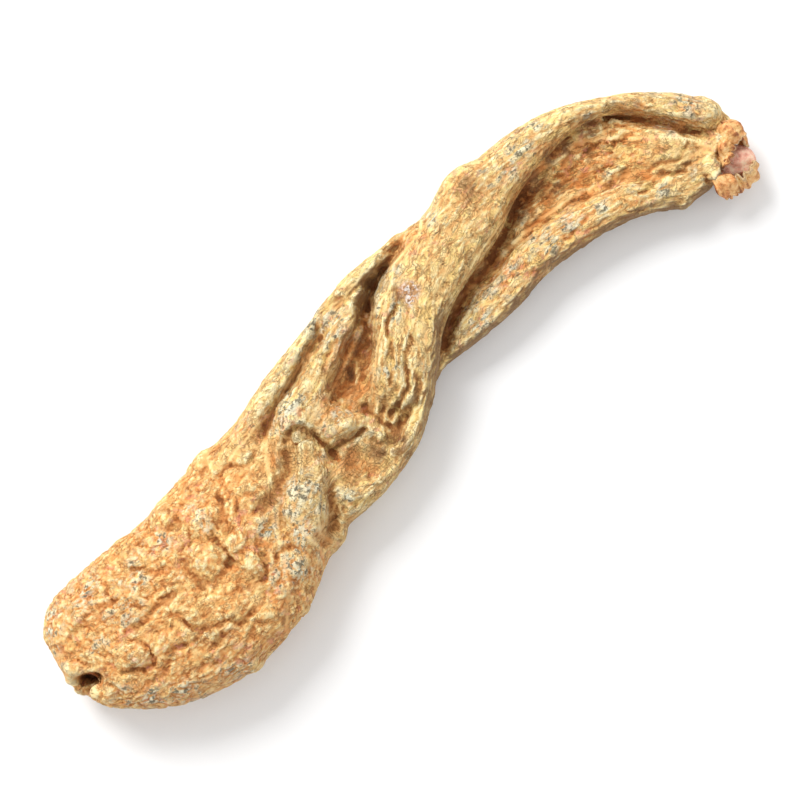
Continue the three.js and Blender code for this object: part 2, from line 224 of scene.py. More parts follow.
# -- Creases, each (width, depth, points), and ridges, which are creases of negative depth --
CREASE_SHARE = 0.5  # how much of a crease's depth is pressed into the skin
CREASE_STEP = 0.7
CREASE_WANDER = 0.4  # mm that a crease strays from its line
# Painted shade darkens the colour in creases and hollows by their depth, up to the darkest share below.
SHADE_PER_MM = 0.25  # how fast a crease darkens with its depth
DARKEST_SHADE = 0.75
LIP = 0.22  # how much the skin swells beside a crease, as a share of its depth
CREASES = [
    # the smooth flap that hangs over the scar's pit, a ridge
    (1.5, -3, [(-65, -2), (-64.2, -3.6), (-63.5, -5), (-62.8, -6.2), (-62.2, -6.9)]),
    # the short slot in the pocket's floor, and the ribbon's foot
    (0.6, 1.8, [(-1.4, 8.8), (-2.6, 8.2), (-4, 7.4), (-5.4, 6.5)]),
    (0.5, 1, [(-5, 3.4), (-4.8, 1.8), (-4.5, 0.4), (-4.1, -1.4), (-3.5, -3), (-2.6, -4)]),
    # between the far rim, the inner fold and the bulb
    (0.8, 1.7, [(2, 18.2), (-2, 17), (-5, 15), (-8, 13.2), (-11, 11.9), (-14, 10.7), (-17, 9.4),
                (-19.4, 7.8), (-20.4, 6)]),
    (0.7, 1.5, [(-17.8, 4.2), (-18.8, 2.8), (-20, 0.9), (-22, -0.2), (-25, -1), (-28.6, -1.9)]),
    # round the tongue, and into the hollow beside it
    (0.6, 1.5, [(-17.4, 4.6), (-15.8, 5.4), (-14.5, 4.2), (-13.6, 2.4), (-12.7, 0.6), (-12.8, -1.6),
                (-13.8, -2.2)]),
    (0.5, 1.2, [(-12.4, -0.2), (-10.5, -0.3), (-8.5, -0.7), (-6.4, -0.8)]),
    # between the knuckle and the belly
    (0.9, 1.4, [(-15.4, -3.4), (-16.4, -5.2), (-17.4, -7.4), (-19, -9.3), (-20.8, -10.4), (-22.8, -12.6)]),
    (0.6, 0.8, [(-17.4, -8.6), (-15.6, -8.4), (-14, -9.4), (-12, -9.4), (-9, -9)]),
    # the groove along the ribbon's far side, down to its foot
    (1.0, 2.4, [(14.5, 19.4), (12, 18.7), (9.4, 17.6), (6.6, 16.5), (4.6, 15.2), (3, 13.4), (2, 11.6),
                (1, 10), (-0.6, 8), (-2.6, 6.2), (-4, 4.8)]),
    (0.5, 0.9, [(0, 9.4), (-1.6, 8.5), (-3.4, 7.4), (-5.4, 6.6), (-7.4, 5.6), (-8, 4.6)]),
    (0.5, 0.7, [(-7.6, 8.4), (-6.4, 10.6), (-4.4, 12), (-2.4, 12.6)]),
    (0.4, 0.6, [(-9.2, 7), (-8.4, 5.6), (-7.4, 4.2), (-6.6, 2.8)]),
    (0.5, 1.1, [(-3.6, -3.8), (-2, -3.2), (0.4, -2.2), (3, -0.4), (5, 1.6)]),
    (0.4, 1.1, [(-2.4, -1.6), (0, -0.4), (2.4, 1.8), (4.6, 4.4), (7, 7)]),
    (0.4, 0.9, [(-0.6, 2), (2, 5), (3.6, 8), (5.6, 10.4), (8, 12)]),
    (0.4, 0.8, [(0.7, 2.3), (-1.6, 0.8), (-3.4, -0.2), (-4.9, -1.2)]),
    (0.4, 0.7, [(4, -1), (1.6, -2.6), (-1.1, -4.7)]),
    (0.5, 0.5, [(-9.6, -4.6), (-8, -4.2), (-6.6, -3)]),
    (0.5, 0.5, [(-10.6, -5.8), (-8.4, -5.4), (-6.6, -5.2), (-5.4, -6.4)]),
    (0.5, 0.5, [(-11.4, -7.2), (-9, -6.8), (-6.4, -7), (-3.4, -6)]),
    # under the ribbon's overhanging edge
    (1.1, 3.2, [(9, 1.6), (11.6, 4), (14.4, 6.2), (18, 7.8), (22, 9), (26, 10.6), (30, 13.4), (33, 15),
                (36, 16)]),
    (0.9, 2.4, [(49.5, 17.4), (51, 16.8), (53, 15.6), (55, 13.6), (56.6, 11.2), (58, 9.4), (60.2, 7.5),
                (62, 6.8), (63.8, 6.2)]),
    # the trough's floor, which rises to the ribbon's edge halfway along, and short ridges on it
    (1.4, -2.8, [(37.5, 15.8), (41, 16.4), (45, 17), (48, 17.1), (50.6, 16.2)]),
    (0.6, -1.5, [(49.3, 16.4), (52.8, 15.4)]),
    (0.7, -1.5, [(47.6, 14.6), (51.3, 13.6)]),
    (0.6, -1.2, [(47.3, 12.7), (50.2, 12)]),
    (0.6, -1.2, [(40.3, 15.4), (43.8, 15)]),
    (0.5, -1, [(38.1, 15), (40.6, 14)]),
    (0.6, -1, [(43.4, 9), (46, 9.6), (48.8, 10)]),
    # streaks in the trough's floor
    (0.4, 0.6, [(38, 12), (40, 11.8), (42.2, 10.8), (44, 10.9), (47, 10.8)]),
    (0.4, 0.6, [(43.6, 14), (45, 14.6), (47, 14.4), (49, 13.8)]),
    (0.4, 0.7, [(46.2, 13), (48, 12.6), (49.4, 12.4), (52, 12.6)]),
    (0.4, 0.5, [(32, 12), (35, 12.6), (38, 12.2), (41, 13.4)]),
    (0.4, 0.5, [(30, 10.4), (34, 9.6), (38, 9.4), (42, 9.8)]),
    (0.5, 0.6, [(24.5, 5), (27, 6), (30.4, 6), (33, 6.4)]),
    (0.4, 0.6, [(47, 5.4), (49.6, 4.6), (52, 5), (54, 4.2), (57, 3.8)]),
    (0.5, 0.6, [(34, 6.4), (36.4, 5.4), (39, 6.2), (41, 7)]),
    (0.4, 0.5, [(50, 6.4), (53, 6.8), (56, 6), (58.4, 7)]),
    (0.4, 0.5, [(49.6, 15.2), (52, 14), (54.4, 13.8)]),
    # where the neck's skin meets the bud
    (0.4, 0.9, [(60.2, 1.6), (60.8, 2.8), (61.6, 3.4), (61.9, 4.6)]),
    (0.4, 0.7, [(57.2, 1.4), (57, 0.2), (57.4, -0.8)]),
    (0.4, 0.6, [(64.4, 6.2), (65, 5), (64.2, 4)]),
    # the bulb's net of creases
    (0.5, 0.8, [(-43, -3.8), (-46, -4.1), (-48, -4.8), (-50.4, -5), (-52.6, -4.9), (-53.3, -6),
                (-52.6, -7.2)]),
    (0.5, 0.9, [(-52.3, -7.2), (-51.6, -9), (-52.2, -10.8), (-54, -10.9), (-56, -10), (-56.8, -8.6)]),
    (0.5, 0.8, [(-46.6, -5.4), (-45, -7.4), (-44.4, -9.4), (-43.4, -10.8), (-41.6, -11.8), (-39.4, -12.3),
                (-37.6, -13.6), (-35, -13.2)]),
    (0.6, 0.8, [(-44.6, -14), (-42.6, -14.1), (-40.6, -13.6)]),
    (0.7, 0.9, [(-41.8, -1), (-40.2, -1.4), (-39.9, -3), (-39.4, -5.2), (-40.4, -6.4)]),
    (0.6, 1.0, [(-29.8, 4.6), (-31, 2.6), (-31.9, 1), (-31.6, -0.8), (-30.6, -2)]),
    (0.6, 0.8, [(-35.8, 4.4), (-36, 2.4), (-37, 1), (-39, 0.4), (-40.4, -0.6)]),
    (0.5, 0.7, [(-34.4, -0.4), (-34.2, -2.6), (-34.4, -5.4), (-36.4, -6)]),
    (0.5, 0.8, [(-29.6, -6.4), (-30.4, -8.4), (-31.6, -10), (-33, -9.6)]),
    (0.5, 0.7, [(-29.4, -9.6), (-27.4, -8.4), (-24.6, -8.8)]),
    (0.6, 0.8, [(-35, 5.6), (-32, 6.8), (-30.4, 8.2), (-28, 9.3), (-25.6, 9.8)]),
    (0.5, 0.7, [(-29.2, 5), (-27, 6.4), (-24.2, 5.4), (-21.4, 5.8)]),
    (0.5, 0.6, [(-30, -1.4), (-29, 0.6), (-27, 1.6), (-24.6, 1.2)]),
    (0.5, 0.6, [(-39.6, 4.2), (-37.8, 4), (-36.6, 5.4), (-34.8, 5.6)]),
    (0.5, 0.6, [(-47.6, 1.4), (-45.8, 1.8), (-44.6, 0.4), (-43, -0.6), (-41.6, -1)]),
    (0.5, 0.6, [(-56.8, 3.2), (-55, 2), (-52.6, 2), (-50.8, 3.2)]),
    (0.5, 0.6, [(-62, -1.4), (-60, -0.8), (-58, -0.4), (-56, 0.4), (-53.6, 0), (-51, -0.2)]),
    (0.5, 0.6, [(-62.6, 2), (-61, 2.8), (-59, 3), (-57, 2.2), (-56.4, 1)]),
    (0.4, 0.25, [(-63, -1.8), (-62.4, -3), (-61.4, -4.2), (-60.8, -5.8), (-59.8, -7)]),
    (0.5, 0.5, [(-50, -15), (-47, -15.4), (-44.6, -16.2), (-42, -15.6)]),
    (0.5, 0.5, [(-38.6, -16.6), (-37, -15), (-35, -15.4), (-33.4, -16.6), (-31, -15.8)]),
    (0.5, 0.5, [(-56, -13.6), (-53.4, -13.4), (-51, -12.6), (-49, -11), (-46.6, -11.8)]),
    (0.5, 0.5, [(-32.6, -12.8), (-31, -11.6), (-29, -12), (-27.8, -13.8)]),
    (0.4, 0.6, [(-60.6, -9.4), (-59.4, -10.4), (-59.6, -12), (-58, -13.4)]),
]

skin = points_mm(skin_mesh)
plan = on_plan(skin)
facing_up = ease(outward(skin_mesh)[:, 2], -0.05, 0.4)
off_table = ease(outward(skin_mesh)[:, 2], -0.6, 0)
# Painted shade, kept for the colour: hollows and creases darken by their depth.
hollow_shade = np.zeros(len(skin))
# Swellings lift the skin outwards, and hollows press it straight down.
push = np.zeros(len(skin))
for *place, height in SWELLINGS:
    push += height * np.exp(-(far_from(plan, *place) ** 3))
skin += outward(skin_mesh) * (push * off_table)[:, None]
push = np.zeros(len(skin))
for *place, depth in HOLLOWS:
    share = far_from(plan, *place)
    push += depth * np.exp(-(share**3))
    hollow_shade = np.maximum(hollow_shade, min(1, 0.5 * depth) * np.exp(-(share**2)))
skin[:, 2] -= push * facing_up

# A crease presses a line into the skin and raises a lip on each side of it.
push, dent = np.zeros(len(skin)), np.zeros(len(skin))
east, north = plan.T
wander = CREASE_WANDER * np.stack([ripple(east / 2, north / 2, 3), ripple(east / 2, north / 2, 8)], 1)
uneven = 0.95 + 0.25 * ripple(east / 4, north / 4, 5)
for width, depth, points in CREASES:
    line = smooth_line(points, CREASE_STEP)
    reach = 4 * width
    low, high = line.min(0) - reach, line.max(0) + reach
    near = np.flatnonzero(((plan > low) & (plan < high)).all(1))
    along, off = measure(plan[near] + wander[near], line)
    total = np.linalg.norm(np.diff(line, axis=0), axis=1).sum()
    fade = ease(along, -0.2, 2 * width) * ease(total - along, -0.2, 2 * width)
    pressed = np.exp(-((off / width) ** 2))
    swollen = np.exp(-(((np.abs(off) - 2 * width) / width) ** 2))
    strength = CREASE_SHARE * depth * fade * uneven[near]
    push[near] += strength * LIP * swollen
    pressing = np.abs(strength * pressed) > np.abs(dent[near])
    dent[near[pressing]] = (strength * pressed)[pressing]
    hollow_shade[near] = np.maximum(hollow_shade[near], np.clip(SHADE_PER_MM * depth, 0, DARKEST_SHADE) * fade * pressed)
skin[:, 2] += (push - dent) * facing_up
set_points_mm(skin_mesh, skin)

# -- Which way the fibres run, along strands: each has its half width, the height of its middle, its
# half height, and its middle line on the plan --
STRAND_STEP = 2.5
STRAND_SHIFT = 40  # mm between two strands' patterns, so that one never runs on into the next
STRANDS = {
    "core": (16, 7, 16, [(-66, -5), (-56, -6.6), (-44, -6.8), (-34, -5), (-24, -1.6), (-14, 2), (-4, 5.4),
                         (8, 9), (20, 11.4), (32, 13), (42, 12.6), (51, 9.8), (58, 6.4), (64, 2)]),
    "ribbon": (5.4, 10, 6, [(65.6, 5), (62.4, 10.4), (57, 14.8), (51, 18.6), (45, 20.6), (38, 20.6),
                            (31, 19.4), (24, 17.4), (17, 14.6), (12, 11.4), (8, 7.4), (4.4, 3.4),
                            (0.6, -0.8), (-4, -5.2), (-10, -7.8), (-16, -8.8)]),
    "near_lobe": (4.2, 5, 6, [(8, 1.8), (16, 3), (24, 4.6), (32, 6), (40, 5.8), (47, 4.4), (53, 2.2),
                              (60, 0.8)]),
    "rim": (2.3, 8, 6, [(16, 19.7), (8, 19), (2, 18.2), (-5, 16), (-12, 13.6), (-19, 11), (-27, 8.4)]),
    "inner_fold": (3.4, 10, 5, [(7, 17.3), (1.6, 15.6), (-4, 12.8), (-9, 10), (-14, 7.6), (-18, 4),
                                (-21, -1), (-24, -6), (-26, -11), (-29, -17), (-33, -25)]),
}
nearest = np.full(len(skin), np.inf)
flow = np.zeros((len(skin), 3))
strand = np.empty(len(skin), int)
# The core comes first and holds every point, until a strand takes those within its width and height.
for number, (half_width, middle, half_height, points) in enumerate(STRANDS.values()):
    along, off = measure(plan, smooth_line(points, STRAND_STEP))
    distance = (off / half_width) ** 2 + ((skin[:, 2] - middle) / half_height) ** 2
    closer = distance < nearest
    nearest[closer] = distance[closer] if number else 1
    strand[closer] = number
    flow[closer] = np.stack([along, off + STRAND_SHIFT * number, skin[:, 2]], 1)[closer]

# The bulb is pebbly, and the neck hardly is. The skin is calm where it lies on the table, and on smooth
# spots, each (x, y, radius).
SMOOTH_SPOTS = [(-64.4, -2.8, 1.6), (-63.4, -4.6, 1.8), (-62.6, -6.2, 1.3), (54, 8.6, 2.6)]
pebbly = ease(-plan[:, 0], 14, 30) * 0.9 + 0.1
calm = ease(0.5 - skin[:, 2], 0, 0.4) * 0.6
for place in SMOOTH_SPOTS:
    calm = np.maximum(calm, 0.75 * ease(1.6 - far_from(plan, *place), 0, 1))

# The pattern stops at the seam between two strands, and fades out beside it.
SEAM_ROUNDS = 2
SEAM_FADE = 0.4  # in each round
edges = edge_points(skin_mesh)
seam = np.zeros(len(skin))
seam[edges[strand[edges[:, 0]] != strand[edges[:, 1]]].ravel()] = 1
for _ in range(SEAM_ROUNDS):
    for here, there in (edges.T, edges.T[::-1]):
        np.maximum.at(seam, here, seam[there] - SEAM_FADE)
store(skin_mesh, "seam", seam)
store(skin_mesh, "flow", flow)
store(skin_mesh, "pebbly", pebbly)
store(skin_mesh, "calm", calm)
store(skin_mesh, "hollow_shade", hollow_shade * facing_up)


# -- Its wrinkles and pebbles, which follow the fibres --
def node(tree, kind, sockets=(), **settings):
    """Adds a node, sets its properties, and fills its inputs with values or with other nodes' outputs."""
    made = tree.nodes.new(kind)
    for name, value in settings.items():
        setattr(made, name, value)
    for socket, value in dict(sockets).items():
        if isinstance(value, bpy.types.NodeSocket):
            tree.links.new(value, made.inputs[socket])
        else:
            made.inputs[socket].default_value = value
    return made


def maths(tree, operation, a, b=0.0):
    return node(tree, "ShaderNodeMath", {0: a, 1: b}, operation=operation).outputs[0]


def vector_maths(tree, operation, a, b):
    """A sum on the vector a, with a second vector, or with a number where it is scaled."""
    second = "Scale" if operation == "SCALE" else 1
    return node(tree, "ShaderNodeVectorMath", {0: a, second: b}, operation=operation).outputs[0]


def stretched(tree, vector, along, across):
    """The flow divided by a pattern's size along the fibres and across them."""
    size = node(tree, "ShaderNodeCombineXYZ", {0: along, 1: across, 2: across}).outputs[0]
    return vector_maths(tree, "DIVIDE", vector, size)


def swayed(tree, flow, sway, amount):
    """The flow moved about by a noise's colour, so that its pattern wanders from side to side."""
    sway = vector_maths(tree, "SUBTRACT", sway, (0.5, 0.5, 0.5))
    return vector_maths(tree, "ADD", flow, vector_maths(tree, "SCALE", sway, amount))


def noise(tree, vector, size, detail=3.0, seed=0.0, kind="3D"):
    """Soft noise between 0 and 1 whose features are about size wide."""
    sockets = {"Vector": vector, "Scale": 1 / size, "Detail": detail, "Roughness": 0.6}
    if kind == "4D":
        sockets["W"] = seed
    return node(tree, "ShaderNodeTexNoise", sockets, noise_dimensions=kind).outputs


def span(tree, value, low, high, start=0.0, end=1.0):
    """A smooth step from start to end as the value goes from low to high."""
    sockets = {"Value": value, "From Min": low, "From Max": high, "To Min": start, "To Max": end}
    return node(tree, "ShaderNodeMapRange", sockets, interpolation_type="SMOOTHSTEP").outputs[0]


def fine_lines(tree, value, spread):
    """1 along the wandering lines where a noise crosses its middle, 0 away from them."""
    away = maths(tree, "ABSOLUTE", maths(tree, "SUBTRACT", value, 0.5))
    return span(tree, away, 0.0, spread, 1.0, 0.0)


def blend(tree, share, a, b):
    """The number a where the share is 0, and b where it is 1."""
    return node(tree, "ShaderNodeMix", {0: share, 2: a, 3: b}, data_type="FLOAT").outputs[0]


def skin_relief_tree():
    tree = bpy.data.node_groups.new("skin_relief", "GeometryNodeTree")
    tree.interface.new_socket("Skin", in_out="INPUT", socket_type="NodeSocketGeometry")
    sizes = {
        "Wrinkle Length": 5.0,
        "Wrinkle Spacing": 1.5,
        "Wrinkle Depth": 0.2,
        "Fold Length": 11.0,
        "Fold Spacing": 3.0,
        "Fold Height": 0.42,
        "Pebble Size": 2.8,
        "Pebble Height": 0.25,
        "Waviness": 1.5,
        "Seed": 3.0,
    }
    for label, value in sizes.items():
        tree.interface.new_socket(label, in_out="INPUT", socket_type="NodeSocketFloat").default_value = value
    tree.interface.new_socket("Finish", in_out="INPUT", socket_type="NodeSocketMaterial")
    tree.interface.new_socket("Skin", in_out="OUTPUT", socket_type="NodeSocketGeometry")
    given = node(tree, "NodeGroupInput").outputs

    def kept(name, kind="FLOAT"):
        read = node(tree, "GeometryNodeInputNamedAttribute", {"Name": name}, data_type=kind)
        return read.outputs[0]

    def pattern(vector, detail, shift=0.0):
        return noise(tree, vector, 1.0, detail, maths(tree, "ADD", given["Seed"], shift), "4D")

    def times(a, b):
        return maths(tree, "MULTIPLY", a, b)

    # The fibres wander a little from side to side.
    fibres = kept("flow", "FLOAT_VECTOR")
    sway = pattern(stretched(tree, fibres, 6.0, 3.0), 2.0)[1]
    wavy = swayed(tree, fibres, sway, given["Waviness"])

    def wrinkled(length, shift):
        lie = stretched(tree, wavy, length, given["Wrinkle Spacing"])
        return fine_lines(tree, pattern(lie, 2.0, shift)[0], 0.11)

    bulb_length = times(given["Wrinkle Spacing"], 1.6)
    wrinkle = blend(tree, kept("pebbly"), wrinkled(given["Wrinkle Length"], 7.0), wrinkled(bulb_length, 29.0))
    wrinkle = times(wrinkle, times(given["Wrinkle Depth"], -1.0))
    folds = stretched(tree, wavy, given["Fold Length"], given["Fold Spacing"])
    fold = maths(tree, "SUBTRACT", pattern(folds, 1.0, 19.0)[0], 0.5)
    fold = times(fold, times(given["Fold Height"], 2.0))

    def pebbles(size, shift):
        """Rounded cells, 1 on top and falling to a sharp crease where they meet."""
        cells = stretched(tree, wavy, times(size, 1.25), size)
        moved = vector_maths(tree, "ADD", cells, (shift, shift, shift))
        cell = node(tree, "ShaderNodeTexVoronoi", {"Vector": moved, "Scale": 1.0, "Randomness": 0.9})
        return maths(tree, "SUBTRACT", 0.5, maths(tree, "POWER", cell.outputs["Distance"], 2.0))

    large = times(pebbles(given["Pebble Size"], 4.0), given["Pebble Height"])
    small = times(pebbles(times(given["Pebble Size"], 0.5), 11.0), times(given["Pebble Height"], 0.4))
    pebble = times(maths(tree, "ADD", large, small), kept("pebbly"))

    relief = maths(tree, "ADD", maths(tree, "ADD", wrinkle, fold), pebble)
    for held_back in ("calm", "seam"):
        relief = times(relief, maths(tree, "SUBTRACT", 1.0, kept(held_back)))
    normal = node(tree, "GeometryNodeInputNormal").outputs[0]
    lift = vector_maths(tree, "SCALE", normal, times(relief, MM))
    moved = node(tree, "GeometryNodeSetPosition", {"Geometry": given["Skin"], "Offset": lift}).outputs[0]
    real = node(tree, "GeometryNodeRealizeInstances", {"Geometry": moved}).outputs[0]
    dressed = node(tree, "GeometryNodeSetMaterial", {"Geometry": real, "Material": given["Finish"]})
    node(tree, "NodeGroupOutput", {0: dressed.outputs[0]})
    return tree


def set_input(modifier, label, value):
    """Sets a Geometry Nodes modifier's input, found by its label, through its identifier."""
    for item in modifier.node_group.interface.items_tree:
        if item.name == label and item.in_out == "INPUT":
            modifier[item.identifier] = value


skin_finish = bpy.data.materials.new("dried_skin")
body = new_object("tuber_skin", skin_mesh)
relief = body.modifiers.new("relief", "NODES")
relief.node_group = skin_relief_tree()
set_input(relief, "Finish", skin_finish)
carved = finished_mesh(body)
body.modifiers.remove(relief)
body.data = carved


# -- How sunken each point is, for the colour: creases get painted rust-brown shade, and ridges are painted paler --
def sunken(mesh, rounds):
    """How far, in mm, each point lies below the same skin smoothed over so many rounds."""
    a, b = edge_points(mesh).T
    size = len(mesh.vertices)
    count = np.bincount(a, minlength=size) + np.bincount(b, minlength=size)
    points = points_mm(mesh)
    level = points.copy()
    for _ in range(rounds):
        for axis in range(3):
            value = level[:, axis]
            total = np.bincount(a, value[b], size) + np.bincount(b, value[a], size)
            level[:, axis] = 0.5 * value + 0.5 * total / count
    return ((level - points) * outward(mesh)).sum(1)


GROOVE_ROUNDS = 6  # for the narrow creases
FURROW_ROUNDS = 60  # for the wide ones
skin = points_mm(carved)
skin[:, 2] = np.maximum(skin[:, 2], 0) * min(1, SKIN_HEIGHT / skin[:, 2].max())
set_points_mm(carved, skin)
store(carved, "groove", sunken(carved, GROOVE_ROUNDS))
store(carved, "furrow", sunken(carved, FURROW_ROUNDS))

# -- Where its colour changes, in spots, each (x, y, radius) --
# Pale, speckled bloom lies on what stands out.
BLOOM = [
    (-2.6, 14.6, 2), (-13, 9.2, 2.2), (19.6, 19.6, 1.5), (32.6, 7.4, 1.4), (36.2, 7, 2), (-14, 8, 3),
    (-27.4, -5, 2), (-22, -4.2, 2.4), (-18, -2.6, 2.4), (-14.8, -7.2, 1.5), (-26.4, -12, 1.9),
    (-46.4, 2, 0.9), (-58, -4.8, 1), (31, 18.4, 0.7), (60.6, 11.8, 2), (47.6, 19.3, 0.8), (50.2, 2.8, 1.7),
    (25.6, 6.4, 1.4), (17, 3, 2.4), (36.4, 21, 1.8), (-17.4, 6.4, 1.4), (-3.4, 13.2, 1.4), (-34.4, 1, 1),
    (-43.4, -18, 1.8), (-55.4, -15.4, 1.7), (-59, -14.6, 1.6), (33.4, 19.6, 2), (40, 22, 1),
    (41.6, 6.2, 1.4), (56.4, 2.2, 1.2), (-9.6, 3.2, 2.2), (-22.6, -7.4, 2), (-62.8, 1.8, 1.6),
    (1.6, 4.6, 1.8), (9.8, 16.2, 1.6), (45.6, 9, 1.2), (-20, -1.6, 1.8), (-19.4, -5, 2.2), (-24, -7.4, 2.4),
    (-61.2, 3.3, 2.2), (-25.8, -10.5, 2.6), (-29.3, -11.7, 2), (-51.5, -18.3, 3), (-59.3, -13.7, 2),
    (-42.7, -18.9, 2.4), (-46.1, 2.5, 1.2), (-57, -4.3, 1.2), (-54.8, 3.3, 2.4), (-41.1, 3, 1.4),
    (-34.2, 3.7, 1.5),
]
# Amber flesh shows on the trough's floor, in the hollows and over the bulb.
AMBER = [
    (34, 13, 5), (42, 13, 6), (50, 10.6, 6), (53, 15, 2.4), (-1.6, 10.4, 3), (-5, 6, 3), (-12.8, -1.6, 2.2),
    (-11, -4, 2.6), (26, 20, 2.6), (14, 20, 3), (-22, 11, 2.4), (-43, 6.6, 2.4), (24, 7, 3),
    (61.6, -2, 2.4), (60.5, 11.5, 2.4), (29, 4.6, 2.4), (37, 4.8, 3.4), (45, 4.4, 2.4), (-38.4, -15.4, 2.4),
    (-34, -8, 2), (-41, -2.6, 2), (-58, -8, 2), (-52.6, -0.6, 3), (-64, -10, 2),
]
# Fine ripples run across the fibres where the skin bunched up.
RIPPLED = [
    (-17.6, 1.5, 2.6), (-18.6, -2.6, 3), (-9.4, -2.6, 3), (-7.4, -6, 2.4), (25.6, 19.4, 2.6),
    (-13, -5.6, 2), (-1.6, 1.6, 2), (-24, -2, 3), (-15, 4, 1.6),
]
# A grey-pink scab sits on the ribbon, and the pits get painted shade, almost black.
SCAB = [(10.5, 12.5, 1.4), (9.9, 11.3, 1)]
PIT_SHADE_SPOTS = [(-61.2, -8, 1.6), (-63.3, -7.2, 1), (-3.4, 7.8, 1.5)]
# Painted shadow lies in brown patches under the ribbon's edge and at its foot, and orange flesh in the pocket
# and trough.
RIBBON_SHADOW_SPOTS = [
    (35.5, 15.6, 2), (46.8, 17.8, 1.8), (42, 17, 1.6), (45.3, 14.5, 0.8), (31, 13, 1.8), (26.4, 20, 2),
    (-4, -5, 2), (-7, -4.6, 1.6), (38, 12.6, 1.2), (9.2, 12.8, 1.7), (39.6, 17.2, 1.5),
]
ORANGE = [
    (-5.5, 5, 3.6), (-2.4, 9, 3), (-9, 5, 2), (-11.4, -4, 2.2), (41.6, 12, 2.4), (34, 11.4, 2.2),
    (50, 6.3, 1), (53.5, 15.6, 2), (46, 12.6, 2.2), (-20, 3, 1.6),
]


def near_spots(spots, sharpness=2):
    """For each point of the plan: 1 in the middle of a spot, falling to 0 away from them all."""
    share = np.zeros(len(plan))
    for spot in spots:
        share = np.maximum(share, np.exp(-(far_from(plan, *spot) ** sharpness)))
    return share


plan = on_plan(skin)
seen = ease(outward(carved)[:, 2], -0.1, 0.3)
store(carved, "bloom", near_spots(BLOOM) * seen)
store(carved, "amber", np.maximum(0.5 * ease(-plan[:, 0], 18, 30), near_spots(AMBER) * seen))
store(carved, "rippled", near_spots(RIPPLED) * seen)
for name, spots in {"scab": SCAB, "pit": PIT_SHADE_SPOTS, "brown": RIBBON_SHADOW_SPOTS, "orange": ORANGE}.items():
    store(carved, name, near_spots(spots, 4) * seen)

# Painted shade: the side turned away from the lamp is browner, most of all along the neck, but not inside the
# trough.
SHADED_WAY = (0.15, -0.9, -0.2)
TROUGH_LINE = [(12, 5), (20, 9), (32, 11), (42, 10.6), (51, 8), (62, 3)]
shaded_side = ease(outward(carved) @ SHADED_WAY, 0.2, 0.55)
beyond_trough = ease(measure(plan, smooth_line(TROUGH_LINE, 2))[1], -1, 1) * ease(plan[:, 0], 10, 16)
store(carved, "shaded_side", shaded_side * (0.25 + 0.75 * ease(plan[:, 0], -12, 8)) * (1 - beyond_trough))


# -- Its finish: matt dried skin, ochre to cream, with painted rust-brown shade in the creases --
def colour(code):
    """A colour from its usual six-digit code, as the linear values that a shader takes."""
    shares = [(code >> shift & 255) / 255 for shift in (16, 8, 0)]
    return (*[s / 12.92 if s < 0.04045 else ((s + 0.055) / 1.055) ** 2.4 for s in shares], 1.0)


def coated(tree, share, under, over):
    """The colour over laid on the colour under, by a share from 0 to 1. Either may be a six-digit code."""
    under, over = (colour(paint) if isinstance(paint, int) else paint for paint in (under, over))
    return node(tree, "ShaderNodeMix", {0: share, 6: under, 7: over}, data_type="RGBA").outputs[2]


def ramp(tree, value, stops):
    """A colour ramp through (place, colour code) stops."""
    made = node(tree, "ShaderNodeValToRGB", {0: value})
    band = made.color_ramp
    while len(band.elements) < len(stops):
        band.elements.new(0.5)
    for element, (place, code) in zip(band.elements, stops):
        element.position = place
        element.color = colour(code)
    return made.outputs[0]


def attribute(tree, name, output="Fac"):
    """What store() kept for each point of the mesh."""
    return node(tree, "ShaderNodeAttribute", attribute_name=name).outputs[output]


def bumped(tree, shader, height, strength, depth):
    """Relief too fine for the mesh, whose full height is depth mm."""
    bump = node(tree, "ShaderNodeBump", {"Strength": strength, "Distance": depth * MM, "Height": height})
    tree.links.new(bump.outputs[0], shader.inputs["Normal"])


def place_in_mm(tree):
    place = node(tree, "ShaderNodeTexCoord").outputs["Object"]
    return node(tree, "ShaderNodeMapping", {"Vector": place, "Scale": (1 / MM, 1 / MM, 1 / MM)}).outputs[0]


CREAM_TONES = [
    (0.0, 0x8A5A2C), (0.22, 0xB98A50), (0.42, 0xD8A96A), (0.6, 0xE6C080), (0.8, 0xF3D899), (1.0, 0xFBECBC),
]
TAN_TONES = [
    (0.0, 0x82481C), (0.22, 0xB47036), (0.42, 0xD68E4E), (0.6, 0xE2A460), (0.8, 0xEFC27E), (1.0, 0xF8DEA2),
]
GRAIN_YELLOW = 0xF8DA88
FLESH_ORANGE, RIBBON_SHADOW_BROWN, FLESH_PINK = 0xCC7C3A, 0x7C4C2C, 0xDC8E78
NECK_LINE, BULB_LINE = 0x755227, 0x80481F
RIPPLE_TAN, RIPPLE_BROWN = 0xC29C62, 0x8C6432
BLOOM_WHITE, BLOOM_SPECK = 0xE4E0C4, 0x5E543E
NECK_CREASE_SHADE, BULB_CREASE_SHADE = 0x865228, 0x9A5C30
SHADED_SIDE_BROWN = 0x805C3C
SCAB_PINK, SCAB_WHITE, SCAB_SPECK = 0xC28C60, 0xECE0D4, 0x6E5848
PIT_SHADE_BROWN = 0x442814
SKIN_BUMP = 0.35  # mm


